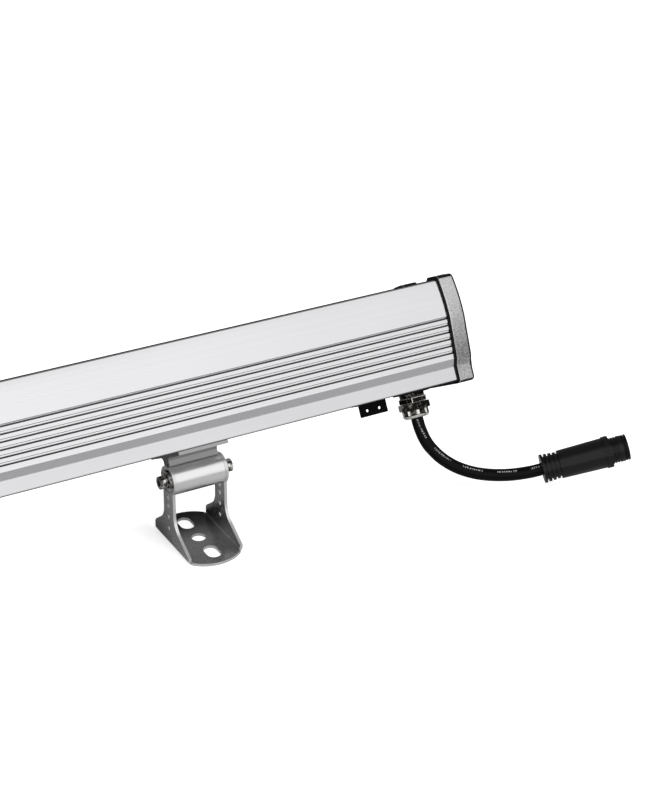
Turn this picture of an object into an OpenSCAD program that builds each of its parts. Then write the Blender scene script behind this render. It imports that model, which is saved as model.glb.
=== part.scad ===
// Outdoor wall washer light: a grooved aluminium housing with a glass front over a row of lenses,
// on two folded feet that slide along the housing and tilt, with a short lead and a round plug.
// X runs along the light, Y points away from the viewer and Z points up. The ground is Z = 0.

/* [Whole light] */
// Length over both end caps
total_length = 1000; // [900:10:1200]
// Distance between the middles of the two feet
foot_spacing = 600; // [400:10:620]
// Angle that the housing leans back from upright
lean = 30; // [0:5:60]
// Height of the tilt pivots above the ground
pivot_height = 47.5; // [46:0.5:56]
// How far the pivots stand behind the middle hole of a foot
pivot_offset = 3.5; // [0:0.5:6]
// Distance from a pivot to the underside of the housing
pivot_drop = 17; // [16:0.5:22]

/* [Housing outline] */
// Height of the extruded housing
housing_height = 68; // [66:1:76]
// Width at the widest level
housing_width = 68.4; // [67:0.2:74]
// Height of the widest level
crown_height = 44; // [42:1:48]
// Radius of the smooth upper sides
crown_radius = 82; // [74:1:120]
// Width of the upright band at the bottom
base_width = 55.6; // [54.8:0.2:57]
// Height of the upright band at the bottom
base_height = 9.5; // [9:0.5:11]
// Width where the lowest groove field starts
shoulder_width = 61.2; // [60:0.2:63]
// Height of the slanted band between base and shoulder
band_height = 5; // [4:0.5:6]
// Bevel along the bottom edges
base_bevel = 0.6; // [0.3:0.1:1]
// Bevel along the outer top edges
top_bevel = 0.5; // [0.2:0.1:0.8]
// Number of grooves on each side
groove_count = 6; // [4:1:6]
// Distance from groove to groove
groove_pitch = 4.62; // [4.4:0.02:4.8]
// Height of the top groove
top_groove_height = 41.5; // [40:0.5:42]
// Width of a groove
groove_width = 1.1; // [0.8:0.1:1.4]
// Depth of a groove
groove_depth = 2; // [1.4:0.1:2.2]
// Height of the low step along the bottom of each rib
rib_step_height = 0.9; // [0.6:0.1:1.2]
// Depth of the low step along the bottom of each rib
rib_step_depth = 0.4; // [0.2:0.1:0.6]

/* [Housing inside] */
// Thickness of the side walls behind the grooves
side_wall = 2.2; // [1.8:0.1:2.6]
// Thickness of the floor between the two slots
floor_thickness = 3; // [2.4:0.2:4]
// Depth of the deck that carries the light board, from the housing's top to the deck's underside
deck_depth = 31; // [30:1:34]
// Thickness of the deck
deck_thickness = 3.2; // [2.6:0.2:4]
// Distance of each fixing slot from the middle
slot_offset = 17; // [16:0.5:17.5]
// Width of a slot's mouth
slot_mouth = 4.8; // [4.6:0.1:5.2]
// Width of a slot behind its lips
slot_width = 8.4; // [8.4:0.1:9]
// Thickness of a slot's lips
slot_lip = 1.6; // [1.4:0.1:2]
// Height of a slot behind its lips
slot_room = 3.2; // [3:0.1:3.6]
// Thickness of the roof over a slot
slot_roof = 1.6; // [1.4:0.1:2]
// Diameter of the screw ports for the end caps
port_diameter = 3.4; // [3.2:0.1:3.6]
// Wall of a screw port
port_wall = 1.8; // [1.4:0.1:2.2]

/* [Glass front] */
// Thickness of the glass
glass_thickness = 4; // [3:0.5:5]
// How far the glass lies below the housing's top edges
glass_recess = 0.5; // [0.3:0.1:1]
// Thickness of the rubber beside the glass
glass_edge = 1.8; // [1.5:0.1:2.4]
// How far that rubber stands above the housing's top
bead_rise = 0.7; // [0.3:0.1:1.2]
// Thickness of the rubber under the glass
seal_thickness = 0.8; // [0.6:0.1:1.2]
// Thickness of the lip beside the glass, at the top
top_lip = 2.4; // [2:0.1:2.8]
// Width of the ledge that carries the glass
ledge_width = 3; // [2.4:0.2:3.6]
// Thickness of that ledge
ledge_thickness = 2; // [1.6:0.2:2.6]

/* [Light engine] */
// Width of the light board
board_width = 34; // [30:1:36]
// Thickness of the light board
board_thickness = 1.6; // [1.2:0.2:2]
// Distance from lens to lens
lens_pitch = 26.6; // [25:0.2:30]
// Diameter of a lens at its face
lens_diameter = 21; // [19:0.5:21.5]
// Height of a lens
lens_height = 12.5; // [11:0.5:13.5]
// Length of the driver board
driver_length = 300; // [200:10:340]
// Gap between the driver board and the lower screw ports
driver_gap = 1.5; // [1:0.1:3]

/* [End caps] */
// Thickness of an end cap
cap_thickness = 12; // [10:0.5:16]
// Thickness of the rubber gasket behind a cap
gasket_thickness = 1.3; // [1:0.1:2]
// How far a cap stands proud of the housing's sides
cap_proud = 1.2; // [0.8:0.1:2]
// How far a cap reaches below the housing
cap_drop = 2.2; // [1.6:0.1:2.4]
// How far the two horns of a cap rise above the housing
horn_rise = 3; // [2:0.5:4]
// Width of a horn
horn_width = 13.5; // [10:0.5:16]
// Rounding of a cap's outer edge
cap_round = 2; // [1:0.1:2.4]
// Bevel of a cap's edge beside the gasket
cap_edge = 0.5; // [0.2:0.1:0.8]

/* [Foot] */
// Thickness of the folded sheet
sheet = 2; // [1.5:0.25:2.5]
// Gap between the two ears
ear_gap = 34.5; // [31:0.5:40]
// Length of the fold along each ear
fold_length = 50; // [48:1:54]
// Length of the base plate with its two round tongues
plate_length = 67; // [64:1:72]
// Radius of the tongues
tongue_radius = 24.4; // [22:0.2:28]
// Width of an ear's neck
neck_width = 14; // [13:0.5:16]
// Radius of an ear's head round the pivot
ear_radius = 10; // [9:0.5:12]
// Diameter of the middle hole
foot_hole = 9.5; // [8:0.5:10]
// Distance between the two slotted holes
foot_slot_spacing = 39.2; // [38:0.2:42]
// Width of a slotted hole
foot_slot_width = 9.3; // [8:0.1:10]
// Length of a slotted hole
foot_slot_length = 14.6; // [13:0.2:16]

/* [Slider] */
// Width of the flange under the housing
flange_width = 50; // [48:1:52]
// Thickness of the flange
flange_thickness = 2.2; // [1.6:0.1:2.6]
// Diameter of the pivot boss
boss_diameter = 19.6; // [18:0.2:20]
// Thickness of the web between flange and boss
web_thickness = 8.6; // [7:0.2:10]
// Diameter of the pivot screws
pivot_screw = 5; // [4:0.5:6]
// Diameter of the screws that clamp the slider
clamp_screw = 4; // [3.5:0.5:4]

/* [Lead and plug] */
// Diameter of the lead
cable_diameter = 8.4; // [7.6:0.2:9]
// Distance of the cable gland from the end of the light
gland_inset = 35; // [32:1:50]
// Width across the flats of the gland's nuts
gland_flats = 19.5; // [18.5:0.5:22]
// Distance of the tie tab from the end of the light
tab_inset = 65; // [60:1:90]
// Length of the plug
plug_length = 59.2; // [56:0.2:66]
// Diameter of the plug's grip ring, its widest part
grip_diameter = 21.7; // [21:0.1:22]

/* [Hidden] */
$fn = 64;

// Overrun of every cut
over = 1;
// Clearance between pieces that slide or turn on each other
running = 0.08;
// Clearance between pieces that are only dropped in
loose = 0.3;
// Gap between the slider's flange and the housing
slide_gap = 0.1;

// Lengths along the light
body_length = total_length - 2 * (cap_thickness + gasket_thickness);
cap_start = body_length / 2 + gasket_thickness;
gland_x = total_length / 2 - gland_inset;
tab_x = total_length / 2 - tab_inset;

// Levels of the housing, counted from its underside
shoulder_height = base_height + band_height;
deck_height = housing_height - deck_depth;
slot_top = slot_lip + slot_room + slot_roof;
deck_top = deck_height + deck_thickness;
glass_top = housing_height - glass_recess;
glass_bottom = glass_top - glass_thickness;
ledge_top = glass_bottom - seal_thickness;
ledge_bottom = ledge_top - ledge_thickness;

// Half widths of the housing's rooms
base_room = base_width / 2 - side_wall;
shoulder_room = shoulder_width / 2 - groove_depth - side_wall;
deck_room = side_at(deck_height) - groove_depth - side_wall;
upper_room = side_at(deck_top) - groove_depth - side_wall;
glass_room = side_at(housing_height) - top_lip;
glass_width = 2 * (glass_room - glass_edge);
ledge_room = glass_room - ledge_width;
slot_inner = slot_offset - slot_width / 2 - slot_roof;

// Screw ports for the end caps, as places across and up the profile
port_radius = port_diameter / 2 + port_wall;
port_places = [
    [base_room - port_radius + port_wall / 2, slot_top + port_radius - port_wall / 2],
    [upper_room - port_radius + port_wall / 2, deck_top + port_radius - port_wall / 2]
];

// Driver board between the lower screw ports
driver_width = 2 * (base_room - 2 * port_radius + port_wall / 2 - driver_gap);

// End cap outline
cap_corner = 3;
horn_corner = 3;
horn_inner_corner = 2;
cap_dip = 0.2;
cap_arc_steps = 9;
corner_steps = 6;
round_steps = 6;
cap_screw = 3.2;
cap_screw_length = 22;
cap_head_diameter = 6.8;
cap_head_height = 2.4;
cap_head_sink = 0.6;

// Light board, lenses and small screws
board_length = body_length - 12;
board_screw = 3;
board_screw_head = 5;
board_screw_head_height = 1.6;
board_screw_grip = 2.6;
board_screw_every = 4;
led_size = 3.5;
led_height = 0.8;
led_dome = 1.3;
lens_count = floor((board_length - lens_diameter) / lens_pitch) + 1;
lens_foot_diameter = 9.6;
lens_rim = 1.2;
lens_clear = 0.4;
holder_wall = 0.8;
holder_foot_diameter = 13;
holder_foot_height = 1.4;

// Driver
driver_thickness = 1.6;
driver_end = 30;
driver_x = gland_x - driver_end - driver_length / 2;
driver_screw_inset = 8;
choke_diameter = 14;
choke_hole = 6;
choke_height = 8;
capacitor_diameter = 10;
capacitor_height = 16;
chip_size = 6;
chip_height = 1.7;
terminal_length = 16;
terminal_width = 9;
terminal_height = 9;
choke_shares = [-0.34, -0.1, 0.14];
capacitor_shares = [-0.24, 0, 0.24];
chip_shares = [-0.4, -0.17, 0.07, 0.32];

// Tie tab
tab_length = 20.4;
tab_height = 9.4;
tab_thickness = 1.5;
tab_foot = 12;
tab_hole = 2.9;
tab_hole_spacing = 9.2;
tab_hole_height = 3.8;
tab_screw = 3;
tab_screw_head = 5.6;
tab_screw_head_height = 2;
tab_screw_length = 6;

// Cable gland, levels counted down from the housing's underside
washer_diameter = 25.2;
washer_thickness = 1.7;
gland_thread = 15.2;
gland_bore = 10;
collar_diameter = 17;
collar_height = 2.8;
body_hex_height = 3.3;
body_flats = 18.4;
nut_gap = 0.4;
nut_hex_height = 4.4;
dome_height = 5.8;
dome_diameter = 18;
dome_end_diameter = 13.6;
dome_round = 2.2;
dome_mouth = 9.6;
flute_count = 9;
flute_diameter = 3;
flute_height = 3.4;
nut_turn = 14;
locknut_height = 3.2;
locknut_flats = 18.5;
washer_low = washer_thickness;
collar_low = washer_low + collar_height;
body_hex_low = collar_low + body_hex_height;
nut_high = body_hex_low + nut_gap;
nut_hex_low = nut_high + nut_hex_height;
gland_low = nut_hex_low + dome_height;
neck_low = nut_hex_low + nut_gap;
bush_diameter = 13;
tail_top = floor_thickness + locknut_height + over;

// Lead inside the housing
core_diameter = 1.8;
core_offsets = [-3, -1, 1, 3];
core_bend = 4;
core_rise = 4;
core_run = driver_end + driver_screw_inset / 2;

// Route of the lead from the gland to the plug, chosen by hand
cable_points = [
    [465, 2.7, 46.1], [465.2, -0.5, 40.8], [466.1, -4, 35.4], [467.7, -7.7, 30.4], [470.4, -11.6, 26],
    [473.7, -15.5, 22.1], [477.7, -19.3, 18.8], [482.1, -23.2, 16.2], [487, -26.8, 14.2],
    [492.2, -30.4, 12.8], [497.6, -33.8, 12], [503.2, -37, 11.6], [508.9, -40, 11.6], [514.6, -42.9, 12],
    [520.4, -45.6, 12.8], [526.3, -48.1, 13.8], [532.1, -50.5, 15.3]
];
cable_start_way = [0, -0.5, -0.866];
cable_end_way = [0.9014, -0.3659, 0.2316];
cable_sides = 10;

// Plug, measured along its axis from the end of the lead
plug_start = cable_points[len(cable_points) - 1];
rib_count = 4;
rib_pitch = 3;
rib_width = 1.7;
rib_diameter = 19.6;
rib_taper = 0.5;
rib_root = 15.6;
sleeve_diameter = 19.2;
sleeve_end_diameter = 20.6;
grip_length = 4;
shell_length = 12;
grip_start = plug_length - shell_length - grip_length;
sleeve_start = rib_count * rib_pitch;
shell_diameter = 17.8;
shell_bore = 13.6;
shell_groove = 15.4;
shell_groove_width = 2.2;
shell_end = 1.1;
thread_depth = 0.5;
thread_pitch = 1.7;
thread_count = 3;
grip_notches = 30;
grip_notch = 0.9;
panel_length = 23;
panel_width = 9;
panel_depth = 0.7;
panel_turn = 35;
spigot_diameter = 12;
spigot_length = 2;
insert_start = plug_length - shell_length + spigot_length;
insert_thickness = 3;
pin_count = 5;
pin_diameter = 1.3;
pin_length = 4.4;
pin_circle = 8.6;

// Foot
fold_radius = 1;
relief = 1.2;
front_sweep = 14;
front_slope = 30;
rear_sweep = 12;
rear_slope = 37;
sweep_height = 25;
corner_cut = 1.2;
index_hole = 2.3;
index_heights = [12.5, 21, 29, 35];
ear_reach = ear_gap / 2 + sheet;

// Slider and its screws
slider_length = ear_gap - 2 * running;
web_fillet = 3;
boss_thread = pivot_screw + 0.04 * pivot_screw;
pivot_head_diameter = 1.7 * pivot_screw;
pivot_head_height = 0.72 * pivot_screw;
pivot_socket = 0.8 * pivot_screw;
pivot_screw_depth = 2.4 * pivot_screw;
flat_washer_diameter = 3 * pivot_screw;
flat_washer_thickness = 0.24 * pivot_screw;
spring_washer_diameter = 1.84 * pivot_screw;
spring_washer_thickness = 0.26 * pivot_screw;
spring_split = 0.2 * pivot_screw;
clamp_head_diameter = 1.9 * clamp_screw;
clamp_head_height = (clamp_head_diameter - clamp_screw) / 2;
clamp_socket = 0.6 * clamp_screw;
nut_width = slot_width - 2 * loose / 2;
nut_thickness = slot_room - 2 * loose;
clamp_tip = slot_lip + slot_room - loose;

// Half width of the housing's side at a level, above the shoulder
function crown_at(level) =
    housing_width / 2 - crown_radius + sqrt(pow(crown_radius, 2) - pow(level - crown_height, 2));
function side_at(level) =
    level >= top_groove_height
    ? crown_at(level)
    : shoulder_width / 2 + (crown_at(top_groove_height) - shoulder_width / 2)
      * (level - shoulder_height) / (top_groove_height - shoulder_height);

// Points along an arc
function arc_points(centre, radius, start, stop, steps) =
    [for (i = [0:steps]) let (a = start + (stop - start) * i / steps) centre + radius * [cos(a), sin(a)]];
function mirrored(points) =
    [for (i = [len(points) - 1:-1:0]) [-points[i][0], points[i][1]]];
function unit(v) = v / norm(v);

// Places a piece that is drawn from the middle of the housing's underside
module in_housing() {
    translate([0, pivot_offset, pivot_height])
        rotate([-lean, 0, 0])
            translate([0, 0, pivot_drop])
                children();
}

// Places a piece of a slider, drawn from its pivot
module at_pivot(side) {
    translate([side * foot_spacing / 2, pivot_offset, pivot_height])
        rotate([-lean, 0, 0])
            children();
}

// Extrudes a profile drawn across and up, along the light
module along(length) {
    rotate([90, 0, 90])
        linear_extrude(length, center = true)
            children();
}

// A cylinder along the light, from one place to another
module rod(diameter, start, stop) {
    translate([start, 0, 0])
        rotate([0, 90, 0])
            cylinder(h = stop - start, d = diameter);
}

// A hexagonal bar given by its width across flats
module hex_bar(flats, height) {
    cylinder(h = height, d = flats / cos(30), $fn = 6);
}

// Solid outline of the housing before it is hollowed
module housing_outline() {
    corner = side_at(housing_height);
    reach = housing_width / 2;
    intersection() {
        polygon([
            [reach, top_groove_height],
            [reach, housing_height - top_bevel - (reach - corner)],
            [corner - top_bevel, housing_height],
            [top_bevel - corner, housing_height],
            [-reach, housing_height - top_bevel - (reach - corner)],
            [-reach, top_groove_height]
        ]);
        for_both_crowns();
    }
    polygon([
        [base_width / 2 - base_bevel, 0],
        [base_width / 2, base_bevel],
        [base_width / 2, base_height],
        [shoulder_width / 2, shoulder_height],
        [side_at(top_groove_height), top_groove_height],
        [-side_at(top_groove_height), top_groove_height],
        [-shoulder_width / 2, shoulder_height],
        [-base_width / 2, base_height],
        [-base_width / 2, base_bevel],
        [-base_width / 2 + base_bevel, 0]
    ]);
}

// The two large circles that make the smooth upper sides
module for_both_crowns() {
    intersection() {
        translate([housing_width / 2 - crown_radius, crown_height])
            circle(crown_radius);
        translate([crown_radius - housing_width / 2, crown_height])
            circle(crown_radius);
    }
}

// One groove with the low step of the rib above it, cut into the right side
module groove(level) {
    slant = atan((side_at(top_groove_height) - shoulder_width / 2) / (top_groove_height - shoulder_height));
    translate([side_at(level), level])
        rotate(-slant) {
            translate([-groove_depth, -groove_width / 2])
                square([groove_depth + over, groove_width]);
            translate([-rib_step_depth, 0])
                square([rib_step_depth + over, groove_width / 2 + rib_step_height]);
        }
}

// Lower room for the driver, with a raised floor over the slots
module lower_room() {
    half = [
        [slot_inner, floor_thickness],
        [slot_inner, slot_top],
        [base_room, slot_top],
        [base_room, base_height],
        [shoulder_room, shoulder_height + side_wall],
        [deck_room, deck_height]
    ];
    polygon(concat(half, mirrored(half)));
}

// Upper room for the lenses, with the ledge and the bed of the glass
module upper_room_outline() {
    half = [
        [upper_room, deck_top],
        [upper_room, ledge_bottom - (upper_room - ledge_room)],
        [ledge_room, ledge_bottom],
        [ledge_room, ledge_top],
        [glass_room, ledge_top],
        [glass_room, housing_height + over]
    ];
    polygon(concat(half, mirrored(half)));
}

// Slot for the clamp nuts, open downwards
module slot_outline() {
    translate([slot_offset - slot_mouth / 2, -over])
        square([slot_mouth, slot_lip + 2 * over]);
    translate([slot_offset - slot_width / 2, slot_lip])
        square([slot_width, slot_room]);
}

// Both sides of something drawn on the right
module both_sides() {
    children();
    mirror([1, 0])
        children();
}

// The whole housing profile with rooms, slots, grooves and screw ports
module housing_profile() {
    difference() {
        union() {
            difference() {
                housing_outline();
                lower_room();
                upper_room_outline();
            }
            both_sides()
                for (place = port_places)
                    translate(place)
                        circle(port_radius);
        }
        both_sides() {
            for (place = port_places)
                translate(place)
                    circle(d = port_diameter);
            for (i = [0:groove_count - 1])
                groove(top_groove_height - i * groove_pitch);
            slot_outline();
        }
    }
}

// Extruded aluminium housing
module housing() {
    color("gainsboro")
        in_housing()
            difference() {
                along(body_length)
                    housing_profile();
                translate([gland_x, 0, -over])
                    cylinder(h = floor_thickness + 2 * over, d = gland_thread + running);
                for (i = [-1, 1])
                    translate([tab_x + i * tab_length / 4, tab_foot / 2, -over])
                        cylinder(h = floor_thickness + 2 * over, d = tab_screw + running);
                for (i = board_screw_places())
                    translate([i, 0, deck_height - over])
                        cylinder(h = deck_thickness + 2 * over, d = board_screw + running);
                for (i = [-1, 1], j = [-1, 1])
                    translate([driver_x + i * driver_screw_x(), j * driver_screw_y(), slot_top - slot_roof - over])
                        cylinder(h = slot_roof + 2 * over, d = board_screw + running);
            }
}

// Half outline of an end cap, from the bottom to the dip at the top, drawn in by an inset
function cap_half(inset) =
    let (
        low = cap_corner - cap_drop,
        base = base_width / 2 + cap_proud,
        horn_top = housing_height + horn_rise,
        start = asin((top_groove_height - crown_height) / crown_radius),
        stop = asin((horn_top - horn_corner - crown_height) / crown_radius),
        centre = [housing_width / 2 - crown_radius, crown_height],
        radius = crown_radius + cap_proud,
        horn_centre = centre + (radius - horn_corner) * [cos(stop), sin(stop)],
        horn_inner = horn_centre[0] + horn_corner - horn_width
    )
    concat(
        arc_points([base - cap_corner, low], cap_corner - inset, -90, 0, corner_steps),
        [[base - inset, base_height], [shoulder_width / 2 + cap_proud - inset, shoulder_height]],
        arc_points(centre, radius - inset, start, stop, cap_arc_steps),
        arc_points(horn_centre, horn_corner - inset, stop + (90 - stop) / corner_steps, 90, corner_steps - 1),
        arc_points([horn_inner + horn_inner_corner, horn_top - horn_inner_corner],
            horn_inner_corner - inset, 90, 150, corner_steps),
        [[horn_inner - horn_inner_corner + inset, housing_height + cap_dip - inset]]
    );
function cap_outline(inset) = concat(cap_half(inset), mirrored(cap_half(inset)));

// Shell of an end cap: rings of its outline, with a bevel inside and a quarter round outside
module cap_form() {
    rings = concat(
        [[0, cap_edge], [cap_edge, 0]],
        [for (i = [0:round_steps])
            [cap_thickness - cap_round + cap_round * sin(90 * i / round_steps),
                cap_round * (1 - cos(90 * i / round_steps))]]
    );
    count = len(cap_outline(0));
    points = [for (ring = rings, p = cap_outline(ring[1])) [ring[0], p[0], p[1]]];
    sides = [
        for (r = [0:len(rings) - 2], i = [0:count - 1])
            let (a = r * count + i, b = r * count + (i + 1) % count)
            each [[a, a + count, b], [b, a + count, b + count]]
    ];
    ends = [
        [for (i = [0:count - 1]) i],
        [for (i = [count - 1:-1:0]) (len(rings) - 1) * count + i]
    ];
    polyhedron(points, concat(sides, ends));
}

// One die-cast end cap, drawn for the right end
module end_cap() {
    color("silver")
        translate([cap_start, 0, 0])
            difference() {
                cap_form();
                for (side = [-1, 1], place = port_places)
                    translate([0, side * place[0], place[1]]) {
                        rod(cap_screw + 2 * loose, -over, cap_thickness + over);
                        rod(cap_head_diameter + 2 * loose,
                            cap_thickness - cap_head_height - cap_head_sink, cap_thickness + over);
                    }
            }
}

// Rubber gasket between housing and cap, open over both rooms
module cap_gasket() {
    color([0.06, 0.06, 0.06])
        translate([body_length / 2 + gasket_thickness / 2, 0, 0])
            difference() {
                along(gasket_thickness)
                    difference() {
                        polygon(cap_outline(0));
                        intersection() {
                            lower_room();
                            translate([-base_room + port_radius, floor_thickness])
                                square([2 * (base_room - port_radius), deck_height]);
                        }
                        translate([-ledge_room + port_radius, deck_top])
                            square([2 * (ledge_room - port_radius), ledge_bottom - deck_top]);
                        both_sides()
                            for (place = port_places)
                                translate(place)
                                    circle(d = cap_screw + 2 * loose);
                    }
            }
}

// The four screws of one cap
module cap_screws() {
    color("lightgray")
        for (side = [-1, 1], place = port_places)
            translate([cap_start + cap_thickness - cap_head_sink, side * place[0], place[1]])
                difference() {
                    union() {
                        rod(cap_head_diameter, -cap_head_height, 0);
                        rod(cap_screw, -cap_screw_length, -cap_head_height);
                    }
                    rotate([0, 90, 0])
                        translate([0, 0, -cap_head_height / 2])
                            hex_bar(cap_screw * 0.8, cap_head_height);
                }
}

// Tempered glass
module glass_cover() {
    color([0.75, 0.85, 0.85, 0.4])
        in_housing()
            translate([0, 0, glass_bottom + glass_thickness / 2])
                cube([body_length - 2 * glass_edge, glass_width, glass_thickness], center = true);
}

// Silicone frame under and round the glass, with a bead that stands above the housing's top
module glass_seal() {
    top = housing_height + bead_rise;
    color([0.05, 0.05, 0.05])
        in_housing()
            difference() {
                translate([0, 0, (ledge_top + top) / 2])
                    cube([body_length, 2 * glass_room, top - ledge_top], center = true);
                translate([-body_length / 2 + glass_edge, -glass_width / 2, glass_bottom])
                    cube([body_length - 2 * glass_edge, glass_width, top - glass_bottom + over]);
                translate([0, 0, ledge_top])
                    cube([body_length - 2 * (glass_edge + ledge_width), 2 * ledge_room, glass_thickness],
                        center = true);
            }
}

// Where the light board's screws stand, between lenses
function lens_x(i) = (i - (lens_count - 1) / 2) * lens_pitch;
function board_screw_places() =
    [for (i = [0:board_screw_every:lens_count - 2]) lens_x(i) + lens_pitch / 2];

// Light board along the deck
module light_board() {
    color("white")
        in_housing()
            difference() {
                translate([0, 0, deck_top + board_thickness / 2])
                    cube([board_length, board_width, board_thickness], center = true);
                for (x = board_screw_places())
                    translate([x, 0, deck_top - over])
                        cylinder(h = board_thickness + 2 * over, d = board_screw + loose);
            }
}

// Screws that hold the light board to the deck
module board_screws() {
    color("lightgray")
        in_housing()
            for (x = board_screw_places())
                translate([x, 0, deck_top + board_thickness]) {
                    cylinder(h = board_screw_head_height, d1 = board_screw_head, d2 = board_screw);
                    translate([0, 0, -board_screw_grip - board_thickness])
                        cylinder(h = board_screw_grip + board_thickness, d = board_screw);
                }
}

// Light sources, each a square chip with a round dome
module leds() {
    color("khaki")
        in_housing()
            for (i = [0:lens_count - 1])
                translate([lens_x(i), 0, deck_top + board_thickness]) {
                    translate([0, 0, led_height / 2])
                        cube([led_size, led_size, led_height], center = true);
                    intersection() {
                        translate([0, 0, led_height])
                            sphere(led_dome);
                        cylinder(h = led_height + led_dome, d = led_size);
                    }
                }
}

// Black cups that hold the lenses on the board
module lens_holders() {
    foot = lens_foot_diameter / 2 + loose;
    rim = lens_diameter / 2 + loose;
    top = led_height + led_dome + lens_clear + lens_height - lens_rim;
    color([0.1, 0.1, 0.1])
        in_housing()
            for (i = [0:lens_count - 1])
                translate([lens_x(i), 0, deck_top + board_thickness])
                    rotate_extrude()
                        polygon([
                            [foot, 0],
                            [holder_foot_diameter / 2, 0],
                            [holder_foot_diameter / 2, holder_foot_height],
                            [foot + holder_wall, holder_foot_height + holder_wall],
                            [rim + holder_wall, top],
                            [rim, top],
                            [foot, led_height + led_dome + lens_clear]
                        ]);
}

// Clear cone lenses, hollow under the foot, with a thin rim that rests on the holder
module lenses() {
    color([0.85, 0.92, 0.95, 0.5])
        in_housing()
            for (i = [0:lens_count - 1])
                translate([lens_x(i), 0, deck_top + board_thickness + led_height + led_dome + lens_clear])
                    rotate_extrude()
                        polygon([
                            [0, lens_height / 3],
                            [led_size / 2, lens_height / 3],
                            [led_size / 2, 0],
                            [lens_foot_diameter / 2, 0],
                            [lens_diameter / 2, lens_height - lens_rim],
                            [lens_diameter / 2 + holder_wall, lens_height - lens_rim],
                            [lens_diameter / 2 + holder_wall, lens_height],
                            [0, lens_height]
                        ]);
}

function driver_screw_x() = driver_length / 2 - driver_screw_inset;
function driver_screw_y() = (slot_inner + driver_width / 2) / 2;

// Driver board on the raised floor
module driver_board() {
    color("darkgreen")
        in_housing()
            translate([driver_x, 0, slot_top])
                difference() {
                    translate([0, 0, driver_thickness / 2])
                        cube([driver_length, driver_width, driver_thickness], center = true);
                    for (i = [-1, 1], j = [-1, 1])
                        translate([i * driver_screw_x(), j * driver_screw_y(), -over])
                            cylinder(h = driver_thickness + 2 * over, d = board_screw + loose);
                }
}

// Chokes, capacitors, chips and the terminal of the driver
module driver_parts() {
    color("dimgray")
        in_housing()
            translate([driver_x, 0, slot_top + driver_thickness]) {
                for (share = choke_shares)
                    translate([share * driver_length, driver_width / 5, 0])
                        difference() {
                            cylinder(h = choke_height, d = choke_diameter);
                            translate([0, 0, chip_height])
                                cylinder(h = choke_height, d = choke_hole);
                        }
                for (share = capacitor_shares)
                    translate([share * driver_length, -driver_width / 5, 0])
                        cylinder(h = capacitor_height, d = capacitor_diameter);
                for (share = chip_shares)
                    translate([share * driver_length, -driver_width / 5, chip_height / 2])
                        cube([chip_size, chip_size, chip_height], center = true);
                translate([driver_length / 2 - terminal_length / 2, 0, terminal_height / 2])
                    cube([terminal_length, terminal_width, terminal_height], center = true);
            }
}

// The four screws of the driver board
module driver_screws() {
    color("lightgray")
        in_housing()
            for (i = [-1, 1], j = [-1, 1])
                translate([driver_x + i * driver_screw_x(), j * driver_screw_y(), slot_top + driver_thickness]) {
                    cylinder(h = board_screw_head_height, d1 = board_screw_head, d2 = board_screw);
                    translate([0, 0, -driver_thickness - slot_roof])
                        cylinder(h = driver_thickness + slot_roof, d = board_screw);
                }
}

// Folded black tab under the housing for a cable tie or a safety wire
module tie_tab() {
    color([0.08, 0.08, 0.08])
        in_housing()
            translate([tab_x, 0, 0])
                difference() {
                    union() {
                        translate([-tab_length / 2, 0, -tab_height])
                            cube([tab_length, tab_thickness, tab_height]);
                        translate([-tab_length / 2, 0, -tab_thickness])
                            cube([tab_length, tab_foot, tab_thickness]);
                    }
                    for (i = [-1, 1]) {
                        translate([i * tab_hole_spacing / 2, -over, -tab_height + tab_hole_height])
                            rotate([-90, 0, 0])
                                cylinder(h = tab_thickness + 2 * over, d = tab_hole);
                        translate([i * tab_length / 4, tab_foot / 2, -tab_thickness - over])
                            cylinder(h = tab_thickness + 2 * over, d = tab_screw + loose);
                    }
                }
}

// The two screws of the tab
module tab_screws() {
    color("lightgray")
        in_housing()
            for (i = [-1, 1])
                translate([tab_x + i * tab_length / 4, tab_foot / 2, -tab_thickness]) {
                    translate([0, 0, -tab_screw_head_height])
                        cylinder(h = tab_screw_head_height, d1 = tab_screw, d2 = tab_screw_head);
                    cylinder(h = tab_screw_length, d = tab_screw);
                }
}

// Draws a piece of the gland from the housing's underside, downwards
module below_gland() {
    in_housing()
        translate([gland_x, 0, 0])
            mirror([0, 0, 1])
                children();
}

// Rubber washer under the gland
module gland_washer() {
    color([0.05, 0.05, 0.05])
        below_gland()
            difference() {
                cylinder(h = washer_thickness, d = washer_diameter);
                translate([0, 0, -over])
                    cylinder(h = washer_thickness + 2 * over, d = gland_thread + running);
            }
}

// Nickel plated gland body: thread, collar, hexagon and neck, bored through
module gland_body() {
    color([0.75, 0.73, 0.68])
        below_gland()
            difference() {
                union() {
                    translate([0, 0, -floor_thickness - locknut_height])
                        cylinder(h = floor_thickness + locknut_height + washer_low, d = gland_thread);
                    translate([0, 0, washer_low])
                        cylinder(h = collar_height, d = collar_diameter);
                    translate([0, 0, collar_low])
                        hex_bar(body_flats, body_hex_height);
                    translate([0, 0, body_hex_low])
                        cylinder(h = neck_low - body_hex_low, d = gland_thread);
                }
                translate([0, 0, -floor_thickness - locknut_height - over])
                    cylinder(h = floor_thickness + locknut_height + neck_low + 2 * over, d = gland_bore);
            }
}

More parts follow.
